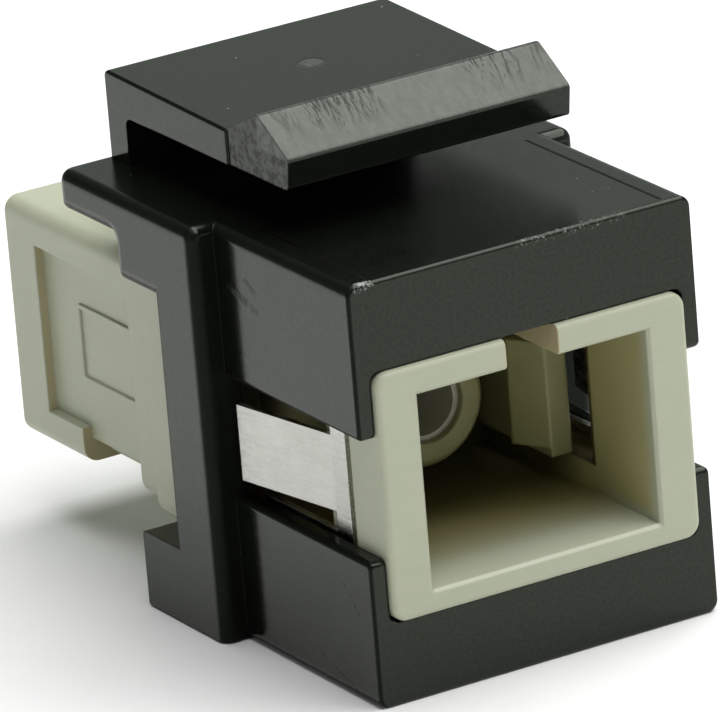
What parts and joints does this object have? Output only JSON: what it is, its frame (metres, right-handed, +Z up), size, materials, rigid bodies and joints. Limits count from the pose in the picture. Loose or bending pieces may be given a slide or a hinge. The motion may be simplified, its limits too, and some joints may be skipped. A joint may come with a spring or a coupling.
{
  "type": "fibre optic adapter",
  "caption": "Snap-in panel frame with a sprung release arm, holding a square-port fibre optic adapter that joins a plug at the front to one at the rear.",
  "frame": {"origin": "centre of the overall box at the flat underside, midway between the two ports", "axes": "+X across the ports, -Y out of the front port, +Z up towards the release arm"},
  "size_m": [0.0164, 0.0272, 0.0204],
  "materials": {
    "black_plastic": "satin black moulding",
    "beige_plastic": "fine satin moulding",
    "spring_steel": "bright rolled sheet",
    "natural_plastic": "smooth moulding",
    "white_ceramic": "polished"
  },
  "bodies": {
    "adapter": {"keystone_frame": "black_plastic", "front_housing": "beige_plastic", "rear_housing": "beige_plastic", "retaining_clip": "spring_steel", "front_insert": "natural_plastic", "rear_insert": "natural_plastic", "alignment_sleeve": "white_ceramic"},
    "latch": {"latch_arm": "black_plastic"}
  },
  "joints": [
    {"name": "latch_press", "type": "hinge", "parent": "adapter", "child": "latch", "pos_m": [0, 0.00413, 0.0161], "axis": [1, 0, 0], "range_deg": [0, 7.5], "stiffness_Nm_per_rad": 0.5}
  ]
}
